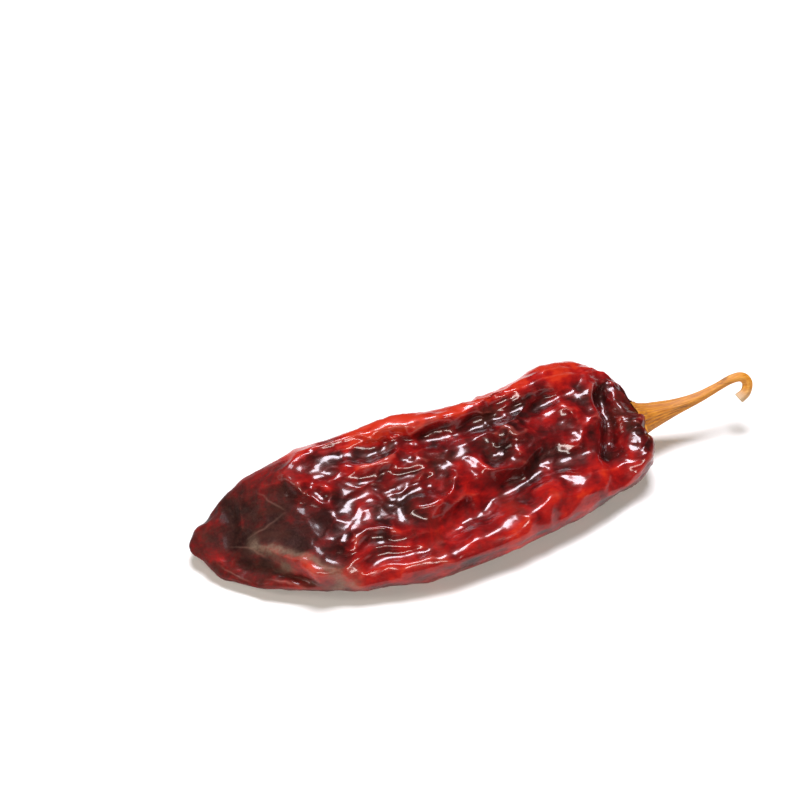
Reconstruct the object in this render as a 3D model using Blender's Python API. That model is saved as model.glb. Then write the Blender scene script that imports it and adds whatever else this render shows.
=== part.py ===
"""A large dried chilli: a flattened, crinkled pod and its hooked stalk with the calyx.

The pod lies on its flat underside. +X points from the tip to the stem end, +Y across the pod
to its high rim, +Z up, and the origin is under the middle of the whole chilli.
"""

import math

import bmesh
import bpy
import numpy as np

MM = 0.001
TAU = 2 * math.pi

# The pod's outline, seen from above and from the side.
POD_LENGTH = 138 * MM
HALF_WIDTH = 23.5 * MM
HALF_HEIGHT = 12.6 * MM
WIDEST_AT = 0.45
STEM_END_ROUNDING = (5.0, 2.6)
TIP_TAPER = 2.3
FULL_HEIGHT_FROM = 0.24
FULL_HEIGHT_TO = 0.35
SHOULDER_ROUNDING = (3.0, 2.1)
THINNING = 3.0
BOW = 8.4 * MM
BOW_LEAN = 1.3
# How much farther out the rim stands than the near edge: a shoulder, then a waist. Each is a
# share of the length and a share of the half width.
RIM_REACH = (
    (0, 0),
    (0.02, 0.14),
    (0.06, 0.16),
    (0.11, 0.13),
    (0.24, -0.05),
    (0.36, -0.12),
    (0.52, -0.01),
    (0.7, 0.02),
    (1, 0),
)
SINK = 0.7 * MM
STEM_END_HEIGHT = 11.5 * MM
STEM_END_SHARE = 0.14
TIP_HEIGHT = 5.5 * MM
TIP_SHARE = 0.16
SOCKET_DEPTH = 3.2 * MM
SOCKET_RADIUS = 6.5 * MM
PLACE_X = -17.25 * MM
PLACE_Y = 4.19 * MM

# The cross-section as a control polygon, from the near edge over the top to the rim and back
# underneath. 1 is half the width across and half the height up.
SECTION = (
    (-1.02, -0.40),
    (-0.86, 0.16),
    (-0.38, 0.40),
    (0.16, 0.66),
    (0.60, 0.96),
    (0.90, 1.10),
    (1.04, 0.52),
    (1.00, -0.44),
    (0.64, -1.02),
    (0.00, -1.14),
    (-0.64, -0.98),
)
RIM_CONTROL = 5.0
ROUND_END = 0.10
ROUND_END_RADIUS = 1.12

# Rings from the stem end to the tip, and columns round each ring.
RINGS = 74
TOP_COLUMNS = 38
UNDER_COLUMNS = 30
END_HOLE = 0.9 * MM

# The folds that the eye picks out on the upper side. Each has its height (a groove is below
# zero), its half width, and points given as millimetres from the stem end and across the spine.
FOLDS = (
    ("long valley", -4.2, 4.0,
     ((13, -8), (28, -7.5), (38, -8), (47, -10), (57, -13), (69, -14.5), (84, -16), (100, -17))),
    ("shoulder groove", -3.0, 1.6, ((7.5, 13), (9.5, 7), (11, 2), (13, -4), (15, -10), (17, -17))),
    ("shoulder ridge", 2.0, 1.8, ((13, 15), (14, 9), (15, 3), (18, -4))),
    ("near lobe", 2.0, 4.0, ((12, -17), (30, -17), (50, -19), (70, -21), (86, -20))),
    ("slanting fold", 3.4, 1.7, ((107, 11.5), (104.5, 8), (102.5, 5), (99.5, 0.5))),
    ("fold beside it", 2.4, 1.4, ((105, 10.5), (99, 6), (96.5, 4), (99.5, 1))),
    ("slanting dip", -1.8, 2.4, ((102, 8), (100, 4))),
    ("middle crest", 2.4, 1.8, ((80, -8), (71, -6.5), (63.5, -5.5), (59, 1))),
    ("middle dip", -2.2, 3.4, ((86, 0), (76, 0), (68, 3))),
    ("cavity lip", 2.4, 1.6, ((54, 2), (50, -2.5), (42, -4.5), (36, -3))),
    ("cavity", -2.6, 2.4, ((52, 4), (47, 2), (42, 3))),
    ("cluster ridge", 2.6, 1.5, ((49, 12), (44.5, 8), (39, 10), (32, 12))),
    ("cluster spur", 2.2, 1.3, ((44.5, 8), (41.5, 4), (37, 2))),
    ("low fold", 2.4, 1.4, ((100, -11), (93, -10), (87, -9), (77, -12), (68, -13))),
    ("second low fold", 2.0, 1.3, ((98, -16), (92, -14.5), (83, -14.5), (75, -16))),
    ("tip fold", 3.0, 2.2, ((129, -4), (120, -7), (112, -11), (106, -16), (100, -20))),
    ("tip groove", -3.2, 1.8, ((128, -8), (121, -12), (112, -17), (104, -22))),
    ("rim fold", 2.0, 1.6,
     ((12, 15), (25, 15), (43, 15.5), (56, 16), (69, 18), (97, 17.5), (108, 11.5), (120, 8))),
    ("rim groove", -2.4, 2.4, ((18, 11), (30, 11), (52, 11.5), (70, 13), (90, 12))),
    ("upper gather", 2.2, 1.4, ((93, 12), (84, 8), (76, 10), (72, 14))),
    ("short fold", 1.8, 1.3, ((26, 9), (22, 4), (21, -1))),
)

FINEST_FOLD = 2.2
CREST_ROUNDING = 0.4
FOLD_WANDER = 0.9 * MM
FOLD_WANDER_SIZE = 7 * MM
FOLD_FADE = 0.6

# Where the skin has gathered most: millimetres from the stem end, across the spine, the radius
# of the patch, and the added depth of its crinkles.
GATHERS = (
    (5, 0, 13, 1.5),
    (42, 8, 12, 1.3),
    (76, 13, 13, 1.0),
    (62, -6, 12, 0.8),
    (22, 0, 12, 0.7),
    (128, -3, 14, 0.3),
)
SWELL_SIZE = 34 * MM
SWELL_DEPTH = 1.5 * MM
PANEL_SIZE = 19 * MM
PANEL_DEPTH = 2.3 * MM
CREASE_SIZE = 12 * MM
CREASE_DEPTH = 1.3 * MM
CRINKLE_SIZE = 6.2 * MM
CRINKLE_DEPTH = 0.5 * MM
STRETCH = 0.55
DRIFT = 3.4 * MM
DRIFT_SIZE = 11 * MM

# Pleats round the stalk's socket, and the bands at the two ends that stay calm.
PUCKERS = 9
PUCKER_DEPTH = 1.5 * MM
PUCKER_REACH = 10 * MM
SOCKET_CALM = (5 * MM, 11 * MM)
TIP_CALM = 5 * MM

# The stalk: its path leaves the stem end, rises a little and hooks back. Offsets are from the
# middle of the stem end, and each is followed by the stalk's radius there.
STALK_PATH = (
    (1.0, 0.0, 0.0, 5.4),
    (3.2, 0.0, 0.1, 4.6),
    (6.5, 0.1, 0.4, 3.7),
    (13.5, 0.2, 1.5, 2.35),
    (20.5, 0.1, 3.4, 1.6),
    (26.5, 0.5, 5.5, 1.25),
    (31.0, 0.9, 7.1, 1.3),
    (34.4, 0.7, 7.3, 1.42),
    (36.0, -0.5, 5.6, 1.5),
    (35.2, -2.0, 3.2, 1.5),
    (33.0, -2.6, 1.7, 1.6),
)
STALK_SIDES = 22
STALK_STEPS = 34
STALK_RIBS = 5
RIB_DEPTH = 0.07
CALYX_RADIUS = 6.6 * MM
CALYX_LOBES = 5
LOBE_REACH = 0.26
LOBE_MEAN = 0.6
CALYX_THICKNESS = 0.9 * MM
CALYX_STEPS = 5
CALYX_INNERMOST = 0.8 * MM
# The rim's last rings: a share of the calyx's radius, and a share of its thickness.
CALYX_RIM = ((1.0, 0.0), (1.03, 0.55), (0.97, 1.0))
GAP = 0.5 * MM

SKIN_RED = (0.19, 0.012, 0.010, 1.0)
STALK_OCHRE = (0.62, 0.30, 0.07, 1.0)


def smooth(low, high, value):
    """0 below low, 1 above high and an eased step between them."""
    t = np.clip((value - low) / (high - low), 0, 1)
    return t * t * (3 - 2 * t)


def cell_values(cells, seed):
    """Three repeatable values from 0 to 1 for each whole-number cell."""
    n = cells.astype(np.int64)
    mixed = n[..., 0] * 73856093 ^ n[..., 1] * 19349663 ^ n[..., 2] * 83492791 ^ seed * 2654435
    out = []
    for turn in range(3):
        mixed = (mixed * 1103515245 + 12345 + turn * 40503) & 0x7FFFFFFF
        mixed = mixed ^ (mixed >> 15)
        out.append((mixed % 100003) / 100003)
    return np.stack(out, axis=-1)


def wander(points, size, seed):
    """A smooth random vector at each point, from about -1 to 1, changing over that size."""
    scaled = points / size
    floor = np.floor(scaled)
    part = scaled - floor
    ease = part * part * (3 - 2 * part)
    total = np.zeros_like(points)
    for corner in np.ndindex(2, 2, 2):
        corner = np.array(corner)
        weight = np.prod(np.where(corner, ease, 1 - ease), axis=-1)
        total += weight[..., None] * (2 * cell_values(floor + corner, seed) - 1)
    return total


def hollows(points, size, seed):
    """Smooth hollows that meet in sharp ridges: 0 in a hollow's middle, about 1 on a ridge."""
    scaled = points / size
    floor = np.floor(scaled)
    nearest = np.full(points.shape[:-1], 9.0)
    for step in np.ndindex(3, 3, 3):
        cell = floor + np.array(step) - 1
        away = scaled - cell - 0.1 - 0.8 * cell_values(cell, seed)
        nearest = np.minimum(nearest, np.sum(away * away, axis=-1))
    return np.clip(nearest / 0.75, 0, 1.4)


def rounding(value, reach, first, second):
    """Grows from 0 at an end to 1 over reach, as a blunt end does."""
    left = 1 - np.clip(value / reach, 0, 1)
    return (1 - left**first) ** (1 / second)


def half_width(xi):
    tapered = np.clip((xi - WIDEST_AT) / (1 - WIDEST_AT), 0, 1)
    return HALF_WIDTH * rounding(xi, WIDEST_AT, *STEM_END_ROUNDING) * (1 - tapered**TIP_TAPER) ** 0.5


def half_height(xi):
    tapered = np.clip((xi - FULL_HEIGHT_TO) / (1 - FULL_HEIGHT_TO), 0, 1)
    risen = rounding(xi, FULL_HEIGHT_FROM, *SHOULDER_ROUNDING)
    return HALF_HEIGHT * risen * (1 - tapered**THINNING) ** 0.5


def spine(xi):
    """The section's middle: across and up, at that share of the length from the stem end."""
    level = half_height(xi) - SINK
    up = STEM_END_HEIGHT + (level - STEM_END_HEIGHT) * smooth(0, STEM_END_SHARE, xi)
    up = up + (TIP_HEIGHT - up) * smooth(1 - TIP_SHARE, 1, xi)
    return -BOW * np.sin(math.pi * xi**BOW_LEAN), up


def profile_table():
    """Shares of the length, and how far along the pod's outline each of them lies."""
    xi = 0.5 - 0.5 * np.cos(np.linspace(0, math.pi, 1200))
    steps = np.hypot(np.diff(xi) * POD_LENGTH, np.diff(half_width(xi)))
    reach = np.concatenate([[0], np.cumsum(steps)])
    return xi, reach


PROFILE_XI, PROFILE_REACH = profile_table()
OUTLINE = PROFILE_REACH[-1]


def section(turn, xi):
    """The cross-section's outline at a place on its control polygon, rounder near the ends."""
    control = np.array(SECTION)
    angle = np.arctan2(control[:, 1], control[:, 0])
    circle = np.stack([np.cos(angle), np.sin(angle)], axis=-1) * ROUND_END_RADIUS
    count = len(control)
    index = np.floor(turn).astype(int)
    t = turn - index
    weights = (
        (1 - t) ** 3 / 6,
        (3 * t**3 - 6 * t**2 + 4) / 6,
        (-3 * t**3 + 3 * t**2 + 3 * t + 1) / 6,
        t**3 / 6,
    )
    blend = np.maximum(1 - smooth(0, ROUND_END, xi), smooth(1 - ROUND_END, 1, xi))[..., None]
    total = 0
    for offset, weight in zip((-1, 0, 1, 2), weights):
        which = (index + offset) % count
        total = total + weight[..., None] * (control[which] * (1 - blend) + circle[which] * blend)
    return total


def base(reach, turn):
    """The pod before it crinkled: metres along its outline from the stem end, and round it."""
    reach, turn = np.broadcast_arrays(reach, turn)
    xi = np.interp(reach, PROFILE_REACH, PROFILE_XI)
    across, up = spine(xi)
    outline = section(turn, xi)
    far = 1 + np.interp(xi, *zip(*RIM_REACH)) * smooth(0, 0.8, outline[..., 0])
    socket = SOCKET_DEPTH * np.exp(-((reach / SOCKET_RADIUS) ** 2))
    return np.stack([
        POD_LENGTH * (0.5 - xi) - socket,
        across + half_width(xi) * outline[..., 0] * far,
        up + half_height(xi) * outline[..., 1],
    ], axis=-1)


def outward(reach, turn):
    """The unit normal of the base form."""
    along = base(reach + 0.2 * MM, turn) - base(reach - 0.2 * MM, turn)
    around = base(reach, turn + 0.02) - base(reach, turn - 0.02)
    normal = np.cross(around, along)
    return normal / np.linalg.norm(normal, axis=-1, keepdims=True)


def smooth_line(points):
    """Close points on a smooth curve through the given ones."""
    ends = [2 * points[0] - points[1], *points, 2 * points[-1] - points[-2]]
    line = []
    for a, b, c, d in zip(ends, ends[1:], ends[2:], ends[3:]):
        for t in np.linspace(0, 1, 6, endpoint=False):
            line.append(0.5 * (2 * b + (c - a) * t + (2 * a - 5 * b + 4 * c - d) * t * t
                               + (3 * b - a - 3 * c + d) * t**3))
    return np.array(line + [points[-1]])


def from_line(line, plan):
    """How far each plan point is from a line, and at what share of the line it is nearest."""
    distance = np.full(plan.shape[:-1], 1.0)
    share = np.zeros(plan.shape[:-1])
    pieces = len(line) - 1
    for i, (a, b) in enumerate(zip(line, line[1:])):
        edge = b - a
        t = np.clip(((plan - a) @ edge) / (edge @ edge), 0, 1)
        away = np.linalg.norm(plan - a - t[..., None] * edge, axis=-1)
        nearer = away < distance
        distance = np.where(nearer, away, distance)
        share = np.where(nearer, (i + t) / pieces, share)
    return distance, share


def crinkles(points, plan, upper):
    """Gathers of small sharp hollows, deepest where the skin has shrunk most."""
    depth = CRINKLE_DEPTH * np.ones(points.shape[:-1])
    for along, side, radius, extra in GATHERS:
        away = np.linalg.norm(plan - np.array([along, side]) * MM, axis=-1) / (radius * MM)
        depth = depth + extra * MM * np.exp(-(away**2)) * (0.4 + 0.6 * upper)
    return depth * (hollows(points, CRINKLE_SIZE, 23) - 0.5)


def folds(points, plan, upper):
    """The named folds and grooves of the upper side."""
    bent = plan + FOLD_WANDER * wander(points, FOLD_WANDER_SIZE, 31)[..., :2]
    total = np.zeros(points.shape[:-1])
    for _, height, width, line in FOLDS:
        distance, share = from_line(smooth_line(np.array(line) * MM), bent)
        away = distance / (max(width, FINEST_FOLD) * MM)
        away = np.hypot(away, CREST_ROUNDING) - CREST_ROUNDING
        fade = np.sin(math.pi * np.clip(share, 0.02, 0.98)) ** FOLD_FADE
        total += height * MM * fade * np.exp(-away if height > 0 else -(away**2))
    return total * upper


def puckers(points, reach, turn):
    """Radial pleats round the stalk's socket."""
    wobble = 0.16 * wander(points, 8 * MM, 41)[..., 0]
    pleat = 1 - np.abs(np.sin(math.pi * (PUCKERS * turn / len(SECTION) + wobble)))
    band = np.exp(-(((reach - PUCKER_REACH) / (0.5 * PUCKER_REACH)) ** 2))
    return PUCKER_DEPTH * band * (pleat - 0.4)


def relief(points, normal, reach, turn):
    """How far the dried skin stands out from the base form, in metres."""
    xi = np.interp(reach, PROFILE_REACH, PROFILE_XI)
    across, _ = spine(xi)
    plan = np.stack([xi * POD_LENGTH, points[..., 1] - across], axis=-1)
    upper = smooth(-0.05, 0.45, normal[..., 2])
    shifted = points + DRIFT * wander(points, DRIFT_SIZE, 3)
    stretched = shifted * np.array([STRETCH, 1.0, 1.0])

    total = SWELL_DEPTH * wander(points, SWELL_SIZE, 17)[..., 0]
    total += PANEL_DEPTH * (hollows(stretched, PANEL_SIZE, 11) - 0.45)
    creases = 1 - np.abs(wander(stretched, CREASE_SIZE, 5)[..., 0]) * 2.4
    total += CREASE_DEPTH * (np.maximum(creases, 0) ** 1.5 - 0.3)
    total += crinkles(shifted, plan, upper)
    total += folds(points, plan, upper)
    total += puckers(points, reach, turn)
    return total * smooth(*SOCKET_CALM, reach) * smooth(0, TIP_CALM, OUTLINE - reach)


def skin(reach, turn):
    """The crinkled pod's surface and its base normal, with the underside pressed flat."""
    reach, turn = np.broadcast_arrays(reach, turn)
    points = base(reach, turn)
    normal = outward(reach, turn)
    shaped = points + normal * relief(points, normal, reach, turn)[..., None]
    shaped[..., 2] = np.maximum(shaped[..., 2], 0)
    return shaped, normal


def even_turns(reach, top, under):
    """Places round each ring in even steps, with one on the near edge and one on the rim."""
    turns = np.linspace(0, len(SECTION), 361)
    points = base(reach[:, None], turns[None, :])
    steps = np.linalg.norm(np.diff(points, axis=1), axis=-1)
    length = np.concatenate([np.zeros((len(reach), 1)), np.cumsum(steps, axis=1)], axis=1)
    rows = []
    for row in length:
        rim = np.interp(RIM_CONTROL, turns, row)
        wanted = np.concatenate([
            np.linspace(0, rim, top, endpoint=False),
            np.linspace(rim, row[-1], under, endpoint=False),
        ])
        rows.append(np.interp(wanted, row, turns))
    return np.array(rows)


def loft(name, rings, material):
    """A closed solid through rings of points, with a point closing each end."""
    mesh = bmesh.new()
    loops = [[mesh.verts.new(point) for point in ring] for ring in rings]
    count = len(loops[0])
    for first, second in zip(loops, loops[1:]):
        for i in range(count):
            j = (i + 1) % count
            mesh.faces.new((first[i], first[j], second[j], second[i]))
    for loop, ring, flip in ((loops[0], rings[0], True), (loops[-1], rings[-1], False)):
        centre = mesh.verts.new(np.mean(ring, axis=0))
        for i in range(count):
            j = (i + 1) % count
            corners = (loop[j], loop[i], centre) if flip else (loop[i], loop[j], centre)
            mesh.faces.new(corners)
    bmesh.ops.triangulate(mesh, faces=mesh.faces, quad_method="SHORT_EDGE")
    bmesh.ops.recalc_face_normals(mesh, faces=mesh.faces)
    data = bpy.data.meshes.new(name)
    mesh.to_mesh(data)
    mesh.free()
    data.shade_smooth()
    data.materials.append(material)
    made = bpy.data.objects.new(name, data)
    bpy.context.scene.collection.objects.link(made)
    return made


def to_frame(points):
    """Moves points so that the origin is under the middle of the whole chilli."""
    return points + np.array([PLACE_X, PLACE_Y, 0])


def make_pod(material):
    reach = np.linspace(END_HOLE, OUTLINE - END_HOLE, RINGS)
    turns = even_turns(reach, TOP_COLUMNS, UNDER_COLUMNS)
    points, _ = skin(reach[:, None], turns)
    return loft("pod", to_frame(points), material)


def stalk_frames(path):
    """For each step along the path: its point and two directions square to it."""
    ahead = np.gradient(path, axis=0)
    ahead /= np.linalg.norm(ahead, axis=1, keepdims=True)
    side = np.array([0.0, 1.0, 0.0])
    frames = []
    for point, direction in zip(path, ahead):
        side = side - direction * (side @ direction)
        side /= np.linalg.norm(side)
        frames.append((point, side, np.cross(direction, side)))
    return frames


def calyx_ring(share, lift, angles):
    """A ring of the calyx at a share of its radius, lifted off the pod's skin."""
    lobes = LOBE_REACH * (np.abs(np.cos(angles * CALYX_LOBES / 2)) - LOBE_MEAN)
    reach = np.maximum(share * CALYX_RADIUS * (1 + lobes * share), CALYX_INNERMOST)
    turn = (np.arctan2(np.sin(angles), np.cos(angles)) / TAU * len(SECTION)) % len(SECTION)
    points, normal = skin(reach, turn)
    return points + normal * lift


def make_stalk(material):
    angles = np.linspace(0, TAU, STALK_SIDES, endpoint=False)
    rings = [calyx_ring(k / CALYX_STEPS, GAP, angles) for k in range(CALYX_STEPS)]
    for share, lift in CALYX_RIM:
        rings.append(calyx_ring(share, GAP + lift * CALYX_THICKNESS, angles))

    controls = np.array(STALK_PATH) * MM
    line = smooth_line(controls)
    length = np.concatenate([[0], np.cumsum(np.linalg.norm(np.diff(line[:, :3], axis=0), axis=1))])
    wanted = np.linspace(0, length[-1], STALK_STEPS)
    path = np.stack([np.interp(wanted, length, line[:, i]) for i in range(4)], axis=-1)
    across, up = spine(np.array(0.0))
    start = np.array([POD_LENGTH / 2 - SOCKET_DEPTH, across, up])
    for (point, side, rise), radius in zip(stalk_frames(path[:, :3] + start), path[:, 3]):
        ribbed = radius * (1 + RIB_DEPTH * np.cos(STALK_RIBS * angles))
        ring = np.outer(np.sin(angles) * ribbed, rise) - np.outer(np.cos(angles) * ribbed, side)
        rings.append(point + ring)
    return loft("stalk", to_frame(np.array(rings)), material)


def make_material(name, colour, roughness):
    material = bpy.data.materials.new(name)
    material.use_nodes = True
    shader = material.node_tree.nodes["Principled BSDF"]
    shader.inputs["Base Color"].default_value = colour
    shader.inputs["Roughness"].default_value = roughness
    shader.inputs["Metallic"].default_value = 0.0
    return material


def main():
    for old in list(bpy.data.objects):
        bpy.data.objects.remove(old)
    make_pod(make_material("dried chilli skin", SKIN_RED, 0.28))
    make_stalk(make_material("dried stalk", STALK_OCHRE, 0.6))


main()
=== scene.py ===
"""The looks of one large dried chilli: its sun-dried, crumpled skin and its woody stalk.

The chilli lies on its side. +X points from the tip to the stalk, +Y to the high rim, +Z up.
"""

import math

import bpy
import numpy as np
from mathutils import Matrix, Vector


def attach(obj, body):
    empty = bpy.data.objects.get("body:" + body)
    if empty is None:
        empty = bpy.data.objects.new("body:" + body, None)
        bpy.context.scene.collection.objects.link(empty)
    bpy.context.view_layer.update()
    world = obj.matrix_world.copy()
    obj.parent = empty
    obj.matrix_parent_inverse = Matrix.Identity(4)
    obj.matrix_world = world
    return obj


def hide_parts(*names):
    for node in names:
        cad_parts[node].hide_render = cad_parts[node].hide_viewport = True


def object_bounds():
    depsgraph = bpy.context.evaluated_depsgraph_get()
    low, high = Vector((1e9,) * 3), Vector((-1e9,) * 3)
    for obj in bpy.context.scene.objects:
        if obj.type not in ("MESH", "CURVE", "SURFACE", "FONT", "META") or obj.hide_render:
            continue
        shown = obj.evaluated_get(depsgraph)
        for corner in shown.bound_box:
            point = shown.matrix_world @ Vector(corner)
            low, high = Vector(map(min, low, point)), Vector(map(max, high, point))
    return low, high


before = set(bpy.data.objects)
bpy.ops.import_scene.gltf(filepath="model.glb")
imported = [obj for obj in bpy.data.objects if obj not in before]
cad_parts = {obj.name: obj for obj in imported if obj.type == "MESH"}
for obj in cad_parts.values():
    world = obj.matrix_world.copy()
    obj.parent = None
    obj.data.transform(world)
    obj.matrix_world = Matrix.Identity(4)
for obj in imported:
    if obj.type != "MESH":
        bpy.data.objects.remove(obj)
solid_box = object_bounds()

MM = 0.001
TAU = 2 * math.pi

# The pod's form, before its skin crumpled. These are the sizes that its solid has.
POD_LENGTH = 138 * MM
HALF_WIDTH = 23.5 * MM
HALF_HEIGHT = 12.6 * MM
WIDEST_AT = 0.45
STEM_END_ROUNDING = (5.0, 2.6)
TIP_TAPER = 2.3
FULL_HEIGHT_FROM = 0.24
FULL_HEIGHT_TO = 0.35
SHOULDER_ROUNDING = (3.0, 2.1)
THINNING = 3.0
BOW = 8.4 * MM
BOW_LEAN = 1.3
RIM_REACH = (
    (0, 0),
    (0.02, 0.14),
    (0.06, 0.16),
    (0.11, 0.13),
    (0.24, -0.05),
    (0.36, -0.12),
    (0.52, -0.01),
    (0.7, 0.02),
    (1, 0),
)
SINK = 0.7 * MM
STEM_END_HEIGHT = 11.5 * MM
STEM_END_SHARE = 0.14
TIP_HEIGHT = 5.5 * MM
TIP_SHARE = 0.16
SOCKET_DEPTH = 3.2 * MM
SOCKET_RADIUS = 6.5 * MM
PLACE_X = -17.25 * MM
PLACE_Y = 4.19 * MM
SECTION = (
    (-1.02, -0.40),
    (-0.86, 0.16),
    (-0.38, 0.40),
    (0.16, 0.66),
    (0.60, 0.96),
    (0.90, 1.10),
    (1.04, 0.52),
    (1.00, -0.44),
    (0.64, -1.02),
    (0.00, -1.14),
    (-0.64, -0.98),
)
RIM_CONTROL = 5.0
ROUND_END = 0.10
ROUND_END_RADIUS = 1.12

# The folds on the side that shows: height in millimetres (a groove is below zero), half width,
# and points as millimetres from the stem end and across the spine.
FOLDS = (
    ("long valley", -4.2, 4.0,
     ((13, -8), (28, -7.5), (38, -8), (47, -10), (57, -13), (69, -14.5), (84, -16), (100, -17))),
    ("shoulder groove", -3.0, 1.6, ((7.5, 13), (9.5, 7), (11, 2), (13, -4), (15, -10), (17, -17))),
    ("shoulder ridge", 2.0, 1.8, ((13, 15), (14, 9), (15, 3), (18, -4))),
    ("near lobe", 2.0, 4.0, ((12, -17), (30, -17), (50, -19), (70, -21), (86, -20))),
    ("slanting fold", 3.4, 1.7, ((107, 11.5), (104.5, 8), (102.5, 5), (99.5, 0.5))),
    ("fold beside it", 2.4, 1.4, ((105, 10.5), (99, 6), (96.5, 4), (99.5, 1))),
    ("slanting dip", -1.8, 2.4, ((102, 8), (100, 4))),
    ("middle crest", 2.4, 1.8, ((80, -8), (71, -6.5), (63.5, -5.5), (59, 1))),
    ("middle dip", -2.2, 3.4, ((86, 0), (76, 0), (68, 3))),
    ("cavity lip", 2.4, 1.6, ((54, 2), (50, -2.5), (42, -4.5), (36, -3))),
    ("cavity", -2.6, 2.4, ((52, 4), (47, 2), (42, 3))),
    ("cluster ridge", 2.6, 1.5, ((49, 12), (44.5, 8), (39, 10), (32, 12))),
    ("cluster spur", 2.2, 1.3, ((44.5, 8), (41.5, 4), (37, 2))),
    ("low fold", 2.4, 1.4, ((100, -11), (93, -10), (87, -9), (77, -12), (68, -13))),
    ("second low fold", 2.0, 1.3, ((98, -16), (92, -14.5), (83, -14.5), (75, -16))),
    ("tip fold", 3.0, 2.2, ((129, -4), (120, -7), (112, -11), (106, -16), (100, -20))),
    ("tip groove", -3.2, 1.8, ((128, -8), (121, -12), (112, -17), (104, -22))),
    ("rim fold", 2.0, 1.6,
     ((12, 15), (25, 15), (43, 15.5), (56, 16), (69, 18), (97, 17.5), (108, 11.5), (120, 8))),
    ("rim groove", -2.4, 2.4, ((18, 11), (30, 11), (52, 11.5), (70, 13), (90, 12))),
    ("upper gather", 2.2, 1.4, ((93, 12), (84, 8), (76, 10), (72, 14))),
    ("short fold", 1.8, 1.3, ((26, 9), (22, 4), (21, -1))),
)

# How narrow a fold may be in millimetres, how round its crest is, and how far its line strays:
# slowly over the first size and in small jags over the second.
FINEST_FOLD = 1.35
CREST_ROUNDING = 0.28
FOLD_WANDER = 1.3 * MM
FOLD_WANDER_SIZE = 6.5 * MM
FOLD_JAG = 0.55 * MM
FOLD_JAG_SIZE = 2.4 * MM

# Where the skin has gathered most: millimetres from the stem end, across the spine, the radius
# of the patch, and how much of the full crumpling it has. Patches this near the stem end go all
# round, and the others fade between these heights above the surface.
GATHERS = (
    (4, 0, 9, 1.0),
    (4, 11, 9, 1.0),
    (4, -11, 9, 1.0),
    (42, 8, 13, 1.0),
    (76, 13, 13, 0.8),
    (60, -6, 10, 0.6),
    (22, 2, 9, 0.5),
)
GATHER_ALL_ROUND = 10
GATHER_HEIGHT = (4 * MM, 10 * MM)

# Where the skin is thin and lit through, painted as a brighter glow, and where it has dried nearly
# black: millimetres from the stem end and across the spine, the patch's reach both ways, and how
# strong it is.
GLOWS = (
    (45, -22, 13, 3.5, 0.55),
    (30, -20, 14, 6, 0.5),
    (16, -16, 8, 7, 0.42),
    (27, -12, 9, 4, 0.25),
    (42, -14, 6, 3, 0.3),
    (12, 15, 8, 5, 0.7),
    (76, -13, 8, 3, 0.4),
    (69, -19, 8, 3.5, 0.5),
    (92, -19.5, 14, 2.5, 0.4),
    (130, -6, 3, 2, 0.8),
    (68, 10, 9, 4, 0.35),
    (24, 7, 8, 6, 0.2),
    (56, -7, 7, 5, 0.22),
)
DARKS = (
    (108, -4, 14, 8, 0.9),
    (121, 1, 13, 11, 1.15),
    (98, -3, 9, 6, 0.7),
    (81, -3, 8, 4, 0.9),
    (88, 13.5, 7, 3, 0.8),
    (63, 6.5, 8, 4, 0.6),
    (46, 3, 5, 5, 0.7),
    (33, 9, 5, 3, 0.5),
    (94, -10, 8, 3, 0.6),
    (111, 5, 7, 5, 0.8),
    (6, 0, 5, 13, 0.6),
    (18, 9, 5, 4, 0.4),
    (20, -3, 9, 6, 0.4),
    (34, -3, 9, 5, 0.4),
)

# The patches' ragged edges: how far they stray, slowly and in jags. Then the rim's glow, painted
# light coming through the thin skin: where across the spine it starts and is full, how far from the
# stem end it goes and fades, the heights between which it grows, and the size of its patches. Then
# how much painted shade darkens the underside, and where the dull end starts and is full, along the
# pod and across the spine.
PATCH_WANDER = 1.8 * MM
PATCH_WANDER_SIZE = 5 * MM
PATCH_JAG = 0.7 * MM
PATCH_JAG_SIZE = 1.7 * MM
RIM_GLOW_FROM = 14.2 * MM
RIM_GLOW_FULL = 16.5 * MM
RIM_GLOW_UNTIL = 112 * MM
RIM_GLOW_FADE = 18 * MM
RIM_GLOW_HEIGHT = (5 * MM, 13 * MM)
RIM_GLOW_PATCH = 6 * MM
UNDERSIDE_SHADE = 0.35
DULL_ALONG = (98 * MM, 113 * MM)
DULL_ACROSS = (-24 * MM, -10 * MM)

# The painted sheen, a pale taupe reflection along the ridge near the tip, and hairline wrinkles on
# the dull skin: points along each, the sheen's reach to either side, and the wrinkles' width, height
# and jags.
SHEEN_RIDGE = ((121, -5), (115, -9), (109, -13.5), (103, -17.5), (97, -20.5))
SHEEN_REACH = 1.9 * MM
HAIRLINES = (
    ((123, -3), (117, -1), (109, 2)),
    ((128, -2), (121, -7), (114, -14)),
    ((132, -7), (124, -13)),
    ((117, 9), (113, 5), (110, 2)),
    ((121, -13), (114, -16), (106, -21)),
)
HAIR_WIDTH = 0.22 * MM
HAIR_HEIGHT = 0.09 * MM
HAIR_JAG = 0.4 * MM
HAIR_JAG_SIZE = 2 * MM

# The form between the named folds: low swells, sunken panels and creases, each with its size and
# depth. The panels and creases are drawn out along the pod and bent by a slow drift.
SWELL_SIZE = 34 * MM
SWELL_DEPTH = 1.5 * MM
PANEL_SIZE = 19 * MM
PANEL_DEPTH = 1.2 * MM
CREASE_SIZE = 12 * MM
CREASE_DEPTH = 0.5 * MM
STRETCH = 0.55
DRIFT = 3.4 * MM
DRIFT_SIZE = 11 * MM

# The pleats round the stalk's socket, and where all relief fades at the socket and at the tip.
PUCKERS = 9
PUCKER_DEPTH = 1.5 * MM
PUCKER_REACH = 10 * MM
SOCKET_CALM = (5 * MM, 10 * MM)
TIP_CALM = 6 * MM

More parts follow.
